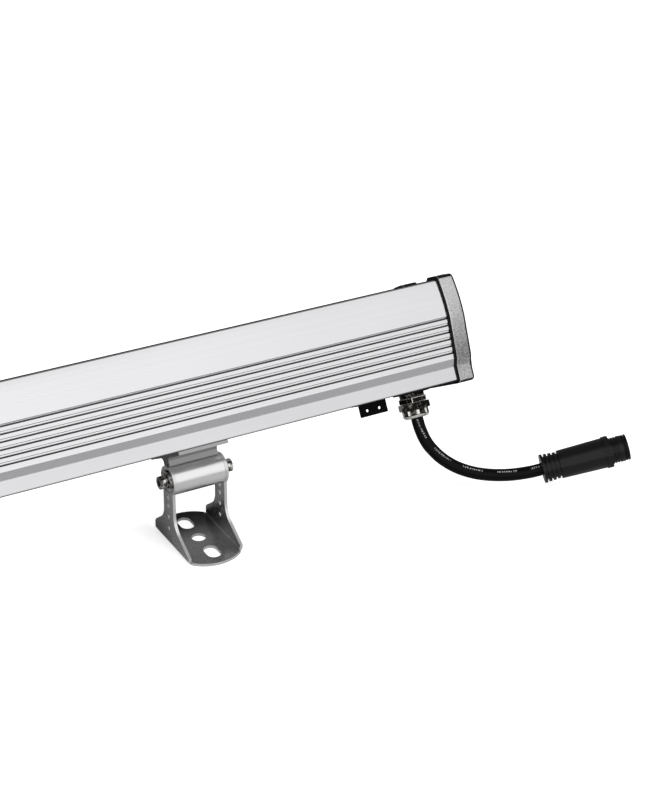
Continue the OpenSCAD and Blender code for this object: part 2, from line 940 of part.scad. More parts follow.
// Dome nut of the gland, with flutes and a rounded end
module gland_nut() {
    color([0.78, 0.76, 0.7])
        below_gland()
            rotate(nut_turn)
                difference() {
                    union() {
                        translate([0, 0, nut_high])
                            hex_bar(gland_flats, nut_hex_height);
                        translate([0, 0, nut_hex_low])
                            rotate_extrude()
                                polygon(concat(
                                    [[0, 0], [dome_diameter / 2, 0], [dome_diameter / 2, flute_height + nut_gap]],
                                    arc_points([dome_end_diameter / 2, dome_height - dome_round],
                                        dome_round, 30, 90, corner_steps),
                                    [[0, dome_height]]
                                ));
                    }
                    translate([0, 0, nut_high - over])
                        cylinder(h = neck_low - nut_high + over, d = gland_thread + running);
                    translate([0, 0, nut_high])
                        cylinder(h = gland_low - nut_high - dome_round / 2, d = bush_diameter + running);
                    cylinder(h = gland_low + over, d = dome_mouth);
                    for (i = [0:flute_count - 1])
                        rotate(360 * i / flute_count)
                            translate([dome_diameter / 2 + flute_diameter / 4, 0, nut_hex_low + nut_gap])
                                cylinder(h = flute_height - nut_gap, d = flute_diameter);
                }
}

// Rubber bush that grips the lead inside the nut
module gland_bush() {
    color([0.04, 0.04, 0.04])
        below_gland()
            difference() {
                union() {
                    translate([0, 0, neck_low])
                        cylinder(h = gland_low - dome_round / 2 - neck_low, d = bush_diameter);
                    translate([0, 0, neck_low])
                        cylinder(h = gland_low - neck_low, d = dome_mouth);
                }
                translate([0, 0, neck_low - over])
                    cylinder(h = gland_low - neck_low + 2 * over, d = cable_diameter);
            }
}

// Locknut inside the housing
module gland_locknut() {
    color([0.75, 0.73, 0.68])
        in_housing()
            translate([gland_x, 0, floor_thickness])
                difference() {
                    hex_bar(locknut_flats, locknut_height);
                    translate([0, 0, -over])
                        cylinder(h = locknut_height + 2 * over, d = gland_thread + running);
                }
}

// One core of the lead: up out of the gland, over to the driver's terminal and down to its end
module core(offset) {
    top = tail_top + core_rise;
    translate([0, offset, tail_top])
        cylinder(h = core_rise, d = core_diameter);
    translate([-core_bend, offset, top])
        rotate([90, 0, 0])
            rotate_extrude(angle = 90)
                translate([core_bend, 0])
                    circle(d = core_diameter);
    translate([0, offset, top + core_bend])
        rod(core_diameter, -core_run + core_bend, -core_bend);
}

// The end of the lead inside the gland, with its stripped cores
module cable_tail() {
    color([0.07, 0.07, 0.07])
        in_housing()
            translate([gland_x, 0, 0]) {
                translate([0, 0, -gland_low])
                    cylinder(h = gland_low + tail_top, d = cable_diameter);
                for (offset = core_offsets)
                    core(offset);
            }
}

// Way of the lead at each point: along its neighbours, and as given at the two ends
function way_at(points, i) =
    i == 0 ? cable_start_way
    : i == len(points) - 1 ? cable_end_way
    : unit(points[i + 1] - points[i - 1]);
function ring_at(centre, way, radius, sides) =
    let (across = unit(cross(way, [0, 0, 1])), up = cross(across, way))
    [for (k = [0:sides - 1]) let (a = 360 * k / sides) centre + radius * (cos(a) * across + sin(a) * up)];

// The lead, swept along its route
module cable() {
    count = len(cable_points);
    radius = cable_diameter / 2;
    points = [
        for (i = [0:count - 1])
            each ring_at(cable_points[i], unit(way_at(cable_points, i)), radius, cable_sides)
    ];
    sides = [
        for (r = [0:count - 2], k = [0:cable_sides - 1])
            let (a = r * cable_sides + k, b = r * cable_sides + (k + 1) % cable_sides)
            each [[a, b, a + cable_sides], [b, b + cable_sides, a + cable_sides]]
    ];
    ends = [
        [for (k = [cable_sides - 1:-1:0]) k],
        [for (k = [0:cable_sides - 1]) (count - 1) * cable_sides + k]
    ];
    color([0.07, 0.07, 0.08])
        polyhedron(points, concat(sides, ends));
}

// Draws a piece of the plug along its axis
module in_plug() {
    translate(plug_start)
        rotate([0, -asin(cable_end_way[2] / norm(cable_end_way)), atan2(cable_end_way[1], cable_end_way[0])])
            children();
}

// Moulded sleeve of the plug with its bending ribs and a sunk panel
module plug_body() {
    color([0.07, 0.07, 0.08])
        in_plug()
            difference() {
                union() {
                    rod(rib_root, 0, sleeve_start);
                    for (i = [0:rib_count - 1])
                        rod(rib_diameter - i * rib_taper, i * rib_pitch, i * rib_pitch + rib_width);
                    translate([sleeve_start, 0, 0])
                        rotate([0, 90, 0])
                            cylinder(h = grip_start - sleeve_start, d1 = sleeve_diameter,
                                d2 = sleeve_end_diameter);
                    rod(spigot_diameter, grip_start, grip_start + grip_length + spigot_length);
                }
                for (turn = [panel_turn, panel_turn + 180])
                    rotate([turn, 0, 0])
                        translate([sleeve_start + (grip_start - sleeve_start - panel_length) / 2,
                            -sleeve_end_diameter, -panel_width / 2])
                            cube([panel_length, sleeve_end_diameter / 2 + panel_depth, panel_width]);
            }
}

// Grip ring of the plug, notched all round
module plug_ring() {
    color([0.09, 0.09, 0.1])
        in_plug()
            difference() {
                rod(grip_diameter, grip_start, grip_start + grip_length);
                rod(spigot_diameter + running, grip_start - over, grip_start + grip_length + over);
                for (i = [0:grip_notches - 1])
                    rotate([360 * i / grip_notches, 0, 0])
                        translate([0, grip_diameter / 2 + grip_notch / 4, 0])
                            rod(grip_notch, grip_start + grip_notch, grip_start + grip_length - grip_notch);
            }
}

// Front shell of the plug: threaded barrel, groove and end rim, open at the front
module plug_shell() {
    start = grip_start + grip_length;
    groove_end = plug_length - shell_end;
    color([0.06, 0.06, 0.07])
        in_plug()
            difference() {
                rod(shell_diameter, start, plug_length);
                rod(spigot_diameter + running, start - over, insert_start + over);
                rod(shell_bore, insert_start, plug_length + over);
                difference() {
                    rod(shell_diameter + 2 * over, groove_end - shell_groove_width, groove_end);
                    rod(shell_groove, groove_end - shell_groove_width - over, groove_end + over);
                }
                for (i = [0:thread_count - 1])
                    difference() {
                        rod(shell_diameter + 2 * over, start + (i + 0.7) * thread_pitch,
                            start + (i + 1.2) * thread_pitch);
                        rod(shell_diameter - 2 * thread_depth, start, plug_length);
                    }
            }
}

// Round insert that carries the pins
module plug_insert() {
    start = insert_start;
    color([0.12, 0.12, 0.13])
        in_plug()
            difference() {
                rod(shell_bore - running, start, start + insert_thickness);
                pin_rods(pin_diameter + running, start - over, start + insert_thickness + over);
            }
}

// The ring of pins, at a given diameter and length
module pin_rods(diameter, start, stop) {
    for (i = [0:pin_count - 1])
        rotate([360 * i / pin_count, 0, 0])
            translate([0, pin_circle / 2, 0])
                rod(diameter, start, stop);
}

// Contact pins
module plug_pins() {
    start = insert_start;
    color("gold")
        in_plug()
            pin_rods(pin_diameter, start, start + insert_thickness + pin_length);
}

// Sealing ring in the shell's groove
module plug_seal() {
    middle = plug_length - shell_end - shell_groove_width / 2;
    color([0.03, 0.03, 0.03])
        in_plug()
            translate([middle, 0, 0])
                rotate([0, 90, 0])
                    rotate_extrude()
                        translate([(shell_groove + shell_groove_width) / 2 - shell_groove_width / 4, 0])
                            circle(d = shell_groove_width / 2);
}

// Slider profile round its pivot: flange, filleted web and boss
module slider_profile() {
    top = pivot_drop - slide_gap;
    low = top - flange_thickness;
    union() {
        translate([-flange_width / 2, low])
            square([flange_width, flange_thickness]);
        translate([-web_thickness / 2, 0])
            square([web_thickness, low]);
        circle(d = boss_diameter);
        both_sides()
            difference() {
                translate([web_thickness / 2, low - web_fillet])
                    square(web_fillet);
                translate([web_thickness / 2 + web_fillet, low - web_fillet])
                    circle(web_fillet);
            }
    }
}

// Extruded slider with its cross bore and two clamp screw holes
module slider(side) {
    color("silver")
        at_pivot(side)
            difference() {
                along(slider_length)
                    slider_profile();
                rod(boss_thread, -slider_length, slider_length);
                for (j = [-1, 1])
                    translate([0, j * slot_offset, 0]) {
                        cylinder(h = pivot_drop + over, d = clamp_screw + 2 * loose);
                        translate([0, 0, pivot_drop - slide_gap - flange_thickness - over])
                            cylinder(h = clamp_head_height + over, d2 = clamp_screw + 2 * running,
                                d1 = clamp_head_diameter + 2 * running + 2 * over);
                    }
            }
}

// Places what clamps a slider, from the housing's underside
module at_slots(side) {
    at_pivot(side)
        for (j = [-1, 1])
            translate([0, j * slot_offset, pivot_drop])
                children();
}

// Countersunk screws that clamp a slider, flush with its flange
module clamp_screws(side) {
    head_top = -slide_gap - flange_thickness;
    color("lightgray")
        at_slots(side)
            difference() {
                union() {
                    translate([0, 0, head_top])
                        cylinder(h = clamp_tip - head_top, d = clamp_screw);
                    translate([0, 0, head_top])
                        cylinder(h = clamp_head_height, d1 = clamp_head_diameter, d2 = clamp_screw);
                }
                translate([0, 0, head_top - over])
                    hex_bar(clamp_socket, clamp_head_height * 0.7 + over);
            }
}

// Square nuts in the housing's slots
module clamp_nuts(side) {
    color("gray")
        at_slots(side)
            difference() {
                translate([-nut_width / 2, -nut_width / 2, slot_lip + loose / 3])
                    cube([nut_width, nut_width, nut_thickness]);
                cylinder(h = slot_top, d = clamp_screw + running);
            }
}

// Both ends of a pivot: draws the right end and its mirror image
module both_ends(side) {
    at_pivot(side)
        for (i = [0, 1])
            mirror([i, 0, 0])
                children();
}

washer_start = ear_reach + running / 2;
spring_start = washer_start + flat_washer_thickness;
head_start = spring_start + spring_washer_thickness;

// Socket head screws that clamp the ears on the boss
module pivot_screws(side) {
    color("silver")
        both_ends(side)
            difference() {
                union() {
                    rod(pivot_screw, slider_length / 2 - pivot_screw_depth, head_start);
                    rod(pivot_head_diameter, head_start, head_start + pivot_head_height);
                }
                translate([head_start + pivot_head_height / 2, 0, 0])
                    rotate([0, 90, 0])
                        hex_bar(pivot_socket, pivot_head_height);
            }
}

// Split spring washers
module spring_washers(side) {
    color("gray")
        both_ends(side)
            difference() {
                rod(spring_washer_diameter, spring_start, head_start);
                rod(pivot_screw + 2 * running, spring_start - over, head_start + over);
                translate([spring_start - over, pivot_screw / 4, -spring_split / 2])
                    cube([spring_washer_thickness + 2 * over, spring_washer_diameter, spring_split]);
            }
}

// Flat washers against the ears
module flat_washers(side) {
    color("lightgray")
        both_ends(side)
            difference() {
                rod(flat_washer_diameter, washer_start, spring_start);
                rod(pivot_screw + 2 * running, washer_start - over, spring_start + over);
            }
}

// U section of the folded foot, with round folds
module fold_outline(half, radius, low, top) {
    translate([-half + radius, low])
        square([2 * (half - radius), radius]);
    translate([-half, low + radius])
        square([2 * half, top - low - radius]);
    for (i = [-1, 1])
        translate([i * (half - radius), low + radius])
            circle(radius);
}

// Fillet that sweeps from a neck's upright edge into the sloping shoulder of the foot
module sweep(edge, way, radius, slope) {
    corner = [edge, sweep_height - radius * tan((90 - slope) / 2)];
    meet = [edge + way * radius * (1 - sin(slope)), sweep_height - radius * cos(slope)];
    difference() {
        polygon([[edge, sweep_height], corner, meet]);
        translate([edge + way * radius, sweep_height])
            circle(radius);
    }
}

// Height of a sloping shoulder at a distance from the foot's middle
function slope_height(edge, radius, slope, reach) =
    sweep_height - radius * cos(slope) - (reach - edge - radius * (1 - sin(slope))) * tan(slope);

// Side view of an ear: round head, narrow neck and two unlike shoulders
module ear_outline() {
    front = neck_width / 2 - pivot_offset;
    rear = neck_width / 2 + pivot_offset;
    reach = fold_length / 2;
    front_low = slope_height(front, front_sweep, front_slope, reach);
    rear_low = slope_height(rear, rear_sweep, rear_slope, reach);
    translate([pivot_offset, pivot_height])
        circle(ear_radius);
    polygon([
        [-reach, 0],
        [reach, 0],
        [reach, rear_low - corner_cut],
        [reach - corner_cut, rear_low + corner_cut * tan(rear_slope)],
        [rear, sweep_height - rear_sweep * tan((90 - rear_slope) / 2)],
        [rear, pivot_height],
        [-front, pivot_height],
        [-front, sweep_height - front_sweep * tan((90 - front_slope) / 2)],
        [-reach, front_low]
    ]);
    sweep(rear, 1, rear_sweep, rear_slope);
    sweep(-front, -1, front_sweep, front_slope);
}

// Base plate outline: a bar with two round tongues, set back beside the folds
module plate_outline() {
    half = ear_reach - sheet - fold_radius;
    reach = fold_length / 2 + relief;
    intersection() {
        union() {
            square([2 * half, plate_length], center = true);
            for (i = [-1, 1])
                translate([-ear_reach, i > 0 ? reach : -plate_length / 2])
                    square([2 * ear_reach, plate_length / 2 - reach]);
        }
        for_both_tongues();
    }
}

// The round ends of the base plate
module for_both_tongues() {
    for (i = [-1, 1])
        intersection() {
            translate([0, i * (plate_length / 2 - tongue_radius)])
                circle(tongue_radius);
            translate([-ear_reach, i > 0 ? 0 : -plate_length / 2])
                square([2 * ear_reach, plate_length / 2]);
        }
}

// Folded sheet foot with pivot holes, index holes, a round hole and two slotted holes
module foot(side) {
    color("darkgray")
        translate([side * foot_spacing / 2, 0, 0])
            difference() {
                union() {
                    intersection() {
                        rotate([90, 0, 0])
                            linear_extrude(fold_length, center = true)
                                difference() {
                                    fold_outline(ear_reach, sheet + fold_radius, 0, pivot_height + ear_radius + over);
                                    fold_outline(ear_gap / 2, fold_radius, sheet,
                                        pivot_height + ear_radius + 2 * over);
                                }
                        along(2 * ear_reach + over)
                            ear_outline();
                    }
                    linear_extrude(sheet)
                        plate_outline();
                }
                translate([0, pivot_offset, pivot_height])
                    rod(pivot_screw + 2 * running, -ear_reach - over, ear_reach + over);
                for (level = index_heights)
                    translate([0, pivot_offset, level])
                        rod(index_hole, -ear_reach - over, ear_reach + over);
                translate([0, 0, -over])
                    cylinder(h = sheet + 2 * over, d = foot_hole);
                for (i = [-1, 1])
                    translate([0, i * foot_slot_spacing / 2, -over])
                        slotted_hole();
            }
}

// A slotted hole that runs front to back
module slotted_hole() {
    straight = foot_slot_length - foot_slot_width;
    for (i = [-1, 1])
        translate([0, i * straight / 2, 0])
            cylinder(h = sheet + 2 * over, d = foot_slot_width);
    translate([-foot_slot_width / 2, -straight / 2, 0])
        cube([foot_slot_width, straight, sheet + 2 * over]);
}

// The left end is the mirror image of the right end
module right_end() {
    in_housing()
        children();
}
module left_end() {
    in_housing()
        mirror([1, 0, 0])
            children();
}

housing();
right_end() end_cap();  // end_cap_right
left_end() end_cap();  // end_cap_left
right_end() cap_gasket();  // cap_gasket_right
left_end() cap_gasket();  // cap_gasket_left
right_end() cap_screws();  // cap_screws_right
left_end() cap_screws();  // cap_screws_left
glass_cover();
glass_seal();
light_board();
board_screws();
leds();
lens_holders();
lenses();
driver_board();
driver_parts();
driver_screws();
tie_tab();
tab_screws();
gland_washer();
gland_body();
gland_nut();
gland_bush();
gland_locknut();
cable_tail();
cable();
plug_body();
plug_ring();
plug_shell();
plug_insert();
plug_pins();
plug_seal();
slider(1);  // slider_right
clamp_screws(1);  // clamp_screws_right
clamp_nuts(1);  // clamp_nuts_right
pivot_screws(1);  // pivot_screws_right
spring_washers(1);  // spring_washers_right
flat_washers(1);  // flat_washers_right
foot(1);  // foot_right
slider(-1);  // slider_left
clamp_screws(-1);  // clamp_screws_left
clamp_nuts(-1);  // clamp_nuts_left
pivot_screws(-1);  // pivot_screws_left
spring_washers(-1);  // spring_washers_left
flat_washers(-1);  // flat_washers_left
foot(-1);  // foot_left
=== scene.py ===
import math

import bmesh
import bpy
from mathutils import Matrix, Vector


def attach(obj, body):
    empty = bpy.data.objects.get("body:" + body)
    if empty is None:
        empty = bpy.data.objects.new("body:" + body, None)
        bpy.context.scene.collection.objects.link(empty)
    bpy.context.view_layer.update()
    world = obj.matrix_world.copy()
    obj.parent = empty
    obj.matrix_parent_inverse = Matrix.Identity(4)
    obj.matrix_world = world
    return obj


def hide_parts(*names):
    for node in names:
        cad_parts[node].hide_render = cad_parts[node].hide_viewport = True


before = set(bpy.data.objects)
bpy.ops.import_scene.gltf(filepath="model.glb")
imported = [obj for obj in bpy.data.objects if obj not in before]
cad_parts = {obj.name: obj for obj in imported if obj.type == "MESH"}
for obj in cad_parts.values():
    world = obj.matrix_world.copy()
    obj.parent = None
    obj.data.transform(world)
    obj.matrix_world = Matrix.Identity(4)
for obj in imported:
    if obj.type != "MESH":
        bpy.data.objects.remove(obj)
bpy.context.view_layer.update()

# The camera stands to the left in front of the light and looks down along it towards its right end.
# Its place, turn and focal length were fitted to the photograph.
camera = bpy.data.objects.new("camera", bpy.data.cameras.new("camera"))
bpy.context.scene.collection.objects.link(camera)
bpy.context.scene.camera = camera
camera.data.lens = 96.77
camera.data.sensor_width = 36
camera.data.clip_start = 0.02
camera.data.clip_end = 30
camera.location = (-0.2057, -1.0751, 0.7378)
camera.rotation_euler = (
    Matrix.Rotation(math.radians(-29.1), 3, "Z")
    @ Matrix.Rotation(math.radians(90 - 28.157), 3, "X")
    @ Matrix.Rotation(math.radians(0.463), 3, "Z")
).to_euler()

# The lead: a round black rubber cable, 8.4 mm thick and about 0.1 m long. It leaves the gland along the
# gland's axis, bends down over the ground and runs into the plug. Plain pale dashes are printed on it.


class Reading:
    """A socket of a shader node that can stand in a plain sum, product or comparison."""

    def __init__(self, finish, socket):
        self.finish = finish
        self.socket = socket

    def __add__(self, other):
        return self.finish.reckon("ADD", self, other)

    def __radd__(self, other):
        return self.finish.reckon("ADD", other, self)

    def __sub__(self, other):
        return self.finish.reckon("SUBTRACT", self, other)

    def __rsub__(self, other):
        return self.finish.reckon("SUBTRACT", other, self)

    def __mul__(self, other):
        return self.finish.reckon("MULTIPLY", self, other)

    def __rmul__(self, other):
        return self.finish.reckon("MULTIPLY", other, self)

    def __mod__(self, other):
        return self.finish.reckon("FLOORED_MODULO", self, other)

    def __gt__(self, other):
        return self.finish.reckon("GREATER_THAN", self, other)

    def __lt__(self, other):
        return self.finish.reckon("LESS_THAN", self, other)

    def held(self):
        """The same reading, kept between 0 and 1."""
        return self.finish.node("ShaderNodeClamp", {}, {"Value": self})


class Finish:
    """What a surface looks like: plain values on its shader, and one method that adds any other node."""

    def __init__(self, owner, plain, shader="Principled BSDF"):
        self.owner = owner
        owner.use_nodes = True
        self.tree = owner.node_tree
        self.shader = self.tree.nodes[shader]
        for socket, value in plain.items():
            self.shader.inputs[socket].default_value = value

    def node(self, kind, settings, inputs, output=0):
        added = self.tree.nodes.new(kind)
        for name, value in settings.items():
            setattr(added, name, value)
        for name, value in inputs.items():
            self.join(added.inputs[name], value)
        return Reading(self, added.outputs[output])

    def join(self, socket, value):
        if isinstance(value, Reading):
            self.tree.links.new(value.socket, socket)
        else:
            socket.default_value = value

    def reckon(self, operation, first, second):
        return self.node("ShaderNodeMath", {"operation": operation}, {0: first, 1: second})

    def place(self, output="Object"):
        return self.node("ShaderNodeTexCoord", {}, {}, output)

    def axes(self, spot):
        """The three numbers of a place or a direction."""
        return [self.node("ShaderNodeSeparateXYZ", {}, {"Vector": spot}, axis) for axis in range(3)]

    def grain(self, scale, stretch=(1, 1, 1), detail=2.0):
        """Noise in real metres: scale is in grains per metre, and stretch scales each axis further."""
        spot = self.node("ShaderNodeMapping", {}, {"Vector": self.place(), "Scale": stretch})
        return self.node("ShaderNodeTexNoise", {}, {"Vector": spot, "Scale": scale, "Detail": detail})

    def between(self, share, low, high):
        """A colour between two others, of which a plain number is a grey."""
        low, high = [(c, c, c, 1) if isinstance(c, (int, float)) else c for c in (low, high)]
        # Inputs 0, 6 and 7 and output 2 of a Mix node are the ones that colours use.
        return self.node("ShaderNodeMix", {"data_type": "RGBA"}, {0: share, 6: low, 7: high}, 2)

    def relief(self, height, distance):
        """Fine unevenness: height runs from 0 to 1 and stands for the given distance in metres."""
        bump = self.node("ShaderNodeBump", {}, {"Strength": 1.0, "Distance": distance, "Height": height})
        self.join(self.shader.inputs["Normal"], bump)

    def vary(self, **links):
        """Feeds readings to the shader. An underscore in a name stands for a space."""
        for name, value in links.items():
            self.join(self.shader.inputs[name.replace("_", " ")], value)


def keep(form, name, finish, body, replaced, smooth=35):
    """Makes the finished object of a bmesh, shaded smooth up to an angle, hangs it on its body and hides the
    built parts it replaces.
    """
    mesh = bpy.data.meshes.new(name)
    form.to_mesh(mesh)
    form.free()
    mesh.shade_smooth()
    mesh.set_sharp_from_angle(angle=math.radians(smooth))
    mesh.materials.append(finish.owner)
    thing = bpy.data.objects.new(name, mesh)
    bpy.context.scene.collection.objects.link(thing)
    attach(thing, body)
    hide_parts(*replaced)
    return thing


cable_route = [Vector(p) / 1000 for p in (
    (465, 2.7, 46.1), (465.2, -0.5, 40.8), (466.1, -4, 35.4), (467.7, -7.7, 30.4),
    (470.4, -11.6, 26), (473.7, -15.5, 22.1), (477.7, -19.3, 18.8), (482.1, -23.2, 16.2),
    (487, -26.8, 14.2), (492.2, -30.4, 12.8), (497.6, -33.8, 12), (503.2, -37, 11.6),
    (508.9, -40, 11.6), (514.6, -42.9, 12), (520.4, -45.6, 12.8), (526.3, -48.1, 13.8),
    (532.1, -50.5, 15.3))]
cable_radius = 0.0042
cable_sides = 28
steps_between = 6
cable_start_way = Vector((0, -0.5, -0.866)).normalized()
cable_end_way = Vector((0.9014, -0.3659, 0.2316)).normalized()
inner_ways = [(b - a).normalized() for a, b in zip(cable_route, cable_route[2:])]
ways = [cable_start_way] + inner_ways + [cable_end_way]
cable_line = []
for a, b, way_a, way_b in zip(cable_route, cable_route[1:], ways, ways[1:]):
    reach = (b - a).length
    for i in range(steps_between):
        t = i / steps_between
        cable_line.append((1 - 3 * t**2 + 2 * t**3) * a + (t - 2 * t**2 + t**3) * reach * way_a
                          + (3 * t**2 - 2 * t**3) * b + (t**3 - t**2) * reach * way_b)
cable_line.append(cable_route[-1])
cable_length = sum((b - a).length for a, b in zip(cable_line, cable_line[1:]))

cable_form = bmesh.new()
cable_marks = cable_form.loops.layers.uv.new("along_the_lead")
cable_spots = {}
rings = []
travelled = 0
for i, spot in enumerate(cable_line):
    ahead, behind = cable_line[min(i + 1, len(cable_line) - 1)], cable_line[max(i - 1, 0)]
    way = (ahead - behind).normalized()
    if i in (0, len(cable_line) - 1):
        way = cable_end_way if i else cable_start_way
    travelled += (spot - behind).length
    across = way.cross(Vector((0, 0, 1))).normalized()
    turned = Matrix((across, way.cross(across), way)).transposed().to_4x4()
    ring = bmesh.ops.create_circle(cable_form, segments=cable_sides, radius=cable_radius,
                                   matrix=Matrix.Translation(spot) @ turned)["verts"]
    for j, vert in enumerate(ring):
        cable_spots[vert] = (travelled, j / cable_sides)
    rings.append({edge for vert in ring for edge in vert.link_edges})
for ring, next_ring in zip(rings, rings[1:]):
    bmesh.ops.bridge_loops(cable_form, edges=list(ring | next_ring))
bmesh.ops.holes_fill(cable_form, edges=[edge for edge in cable_form.edges if edge.is_boundary])
for face in cable_form.faces:
    wraps = max(cable_spots[v][1] for v in face.verts) - min(cable_spots[v][1] for v in face.verts) > 0.5
    for corner in face.loops:
        far, around = cable_spots[corner.vert]
        corner[cable_marks].uv = (far, 1 if wraps and around == 0 else around)
bmesh.ops.recalc_face_normals(cable_form, faces=cable_form.faces)

dashes_per_metre, groups_per_metre = 620, 42
row_from, row_to = 0.555, 0.6
jacket = Finish(bpy.data.materials.new("cable_jacket"), {"Specular IOR Level": 0.1})
far, around, _ = jacket.axes(jacket.place("UV"))
dash = (far * dashes_per_metre + jacket.grain(300) * 1.6) % 1 > 0.42
group = (far * groups_per_metre) % 1 < 0.62
row = (around > row_from) * (around < row_to)
printed = dash * group * row * (jacket.grain(1500) > 0.44)
jacket.vary(Base_Color=jacket.between(printed * 0.8, 0.002, 0.4),
            Roughness=jacket.grain(260, detail=4) * 0.14 + 0.2)
jacket.relief(jacket.grain(2600, detail=3), 0.00004)

cable = keep(cable_form, "lead", jacket, "light", ["cable"], smooth=60)

# The plug: a black moulded sleeve with four bending ribs and a sunk, bare panel on each side, a notched grip
# ring, and a threaded shell that is open at the front. Five gilt pins stand in a round insert.


def solid(node):
    """A copy of a built solid with its loose triangles merged and its flat faces made whole."""
    form = bmesh.new()
    form.from_mesh(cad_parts[node].data)
    bmesh.ops.remove_doubles(form, verts=form.verts, dist=2e-6)
    bmesh.ops.dissolve_limit(form, angle_limit=math.radians(0.4), verts=form.verts, edges=form.edges)
    return form


def round_edges(thing, width, segments=2, angle=30, painted_edge_highlight=None):
    """Breaks the sharp edges of a finished piece, as on any real one. A finish given as
    painted_edge_highlight shows on them alone, as a painted highlight.
    """
    edge = thing.modifiers.new("broken_edges", "BEVEL")
    edge.width = width
    edge.segments = segments
    edge.limit_method = "ANGLE"
    edge.angle_limit = math.radians(angle)
    edge.harden_normals = True
    edge.use_clamp_overlap = True
    if painted_edge_highlight:
        thing.data.materials.append(painted_edge_highlight.owner)
        edge.material = len(thing.data.materials) - 1
    return thing


plug_plastic = Finish(bpy.data.materials.new("plug_plastic"), {"Specular IOR Level": 0.3})
plug_grain = plug_plastic.grain(3200, detail=3)
plug_plastic.vary(Roughness=plug_plastic.grain(180, detail=4) * 0.14 + 0.17,
                  Base_Color=plug_plastic.between(plug_grain, 0.002, 0.005))
plug_plastic.relief(plug_grain, 0.00002)
for node, edge in (("plug_body", 0.0004), ("plug_ring", 0.0002), ("plug_shell", 0.0002),
                   ("plug_insert", 0.0002)):
    thing = keep(solid(node), "bare_" + node, plug_plastic, "light", [node])
    round_edges(thing, edge, 3)

gilt = Finish(bpy.data.materials.new("gilt"), {"Metallic": 1.0, "Base Color": (0.83, 0.6, 0.24, 1)})
gilt.vary(Roughness=gilt.grain(2500) * 0.14 + 0.16)
pins = keep(solid("plug_pins"), "contact_pins", gilt, "light", ["plug_pins"])
round_edges(pins, 0.0003, 3)

rubber = Finish(bpy.data.materials.new("black_rubber"), {"Specular IOR Level": 0.12})
rubber.vary(Base_Color=rubber.between(rubber.grain(300), 0.003, 0.008),
            Roughness=rubber.grain(700, detail=4) * 0.2 + 0.5)
rubber.relief(rubber.grain(4000, detail=3), 0.00004)
seal = keep(solid("plug_seal"), "sealing_ring", rubber, "light", ["plug_seal"], smooth=60)

# The cable gland: dark nickel on brass. A hexagon and a collar sit on a rubber washer, and the dome nut
# with its flutes squeezes a rubber bush round the lead. Highlights are painted on its edges, flutes and rim.


def give(thing, finish, chosen):
    """Gives the faces that a test picks another finish."""
    thing.data.materials.append(finish.owner)
    for face in thing.data.polygons:
        if chosen(face):
            face.material_index = len(thing.data.materials) - 1


rake = math.radians(30)
pivot_y, pivot_z = 0.0035, 0.0475
pivot_drop = 0.017
upright = (Matrix.Translation((0, 0, -pivot_drop)) @ Matrix.Rotation(rake, 4, "X")
           @ Matrix.Translation((0, -pivot_y, -pivot_z)))


def stood_upright(face):
    """The middle of a face and its outward direction, with the housing turned back to stand upright."""
    return upright @ face.center, upright.to_3x3() @ face.normal


gland_x, nut_starts = 0.465, -0.0126
flutes_from, flutes_to, rim_from = 0.0082, 0.00885, 0.0066


def gets_painted_highlight(face):
    """Whether a face lies in a flute of the dome nut or on its rounded rim, where a highlight is painted."""
    spot, way = stood_upright(face)
    out = math.hypot(spot.x - gland_x, spot.y)
    in_flute = flutes_from < out < flutes_to and abs(way.z) < 0.1
    on_rim = out > rim_from and -0.95 < way.z < -0.2
    return spot.z < nut_starts and (in_flute or on_rim)


nickel = Finish(bpy.data.materials.new("dark_nickel"), {"Metallic": 1.0})
tarnish = nickel.grain(420, detail=4)
nickel.vary(Base_Color=nickel.between(((tarnish - 0.52) * 5).held(),
                                      (0.012, 0.011, 0.01, 1), (0.2, 0.19, 0.17, 1)),
            Roughness=tarnish * 0.14 + 0.08)
nickel.relief(nickel.grain(1800, detail=3), 0.00002)
# Painted highlight: near-white nickel on the flutes, the rounded rim and the rounded edges of the gland.
painted_nickel_highlight = Finish(bpy.data.materials.new("painted_nickel_highlight"), {"Metallic": 1.0})
highlight_grain = painted_nickel_highlight.grain(420, detail=4)
painted_nickel_highlight.vary(Base_Color=painted_nickel_highlight.between(highlight_grain,
                                                    (0.8, 0.78, 0.74, 1), (0.95, 0.94, 0.91, 1)),
                   Roughness=highlight_grain * 0.1 + 0.1)
for node in ("gland_body", "gland_nut", "gland_locknut"):
    thing = keep(solid(node), node.replace("gland", "nickel"), nickel, "light", [node])
    # The flutes, the rim and the rounded edges get the painted highlight.
    give(thing, painted_nickel_highlight, gets_painted_highlight)
    round_edges(thing, 0.00055, 3, painted_edge_highlight=painted_nickel_highlight)
for node in ("gland_washer", "gland_bush"):
    thing = keep(solid(node), node.replace("gland", "rubber"), rubber, "light", [node])
    round_edges(thing, 0.0003, 3)


def refinish(node, finish):
    """Gives a built solid that stays as it is its finish."""
    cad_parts[node].data.materials.clear()
    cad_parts[node].data.materials.append(finish.owner)


refinish("cable_tail", jacket)

# The tie tab: a small folded plate of sheet metal with a black coat and two holes. Two countersunk screws
# hold it under the housing, beside the gland.
tab_coat = Finish(bpy.data.materials.new("tab_coat"), {"Specular IOR Level": 0.04,
                                                       "Base Color": (0.002, 0.002, 0.002, 1)})
tab_coat.vary(Roughness=tab_coat.grain(500, detail=4) * 0.2 + 0.3)
tab_coat.relief(tab_coat.grain(3000), 0.00003)
tab_form = solid("tie_tab")
hole_level, hole_reach = -0.0056, 0.0016
for hole in (0.4304, 0.4396):
    rim = [v for v in tab_form.verts if (spot := upright @ v.co).y < 0.0016
           and math.hypot(spot.x - hole, spot.z - hole_level) < hole_reach]
    bmesh.ops.scale(tab_form, vec=(0.78, 1, 0.72), verts=rim,
                    space=Matrix.Translation((-hole, 0, -hole_level)) @ upright)
round_edges(keep(tab_form, "folded_tab", tab_coat, "light", ["tie_tab"]), 0.0002)

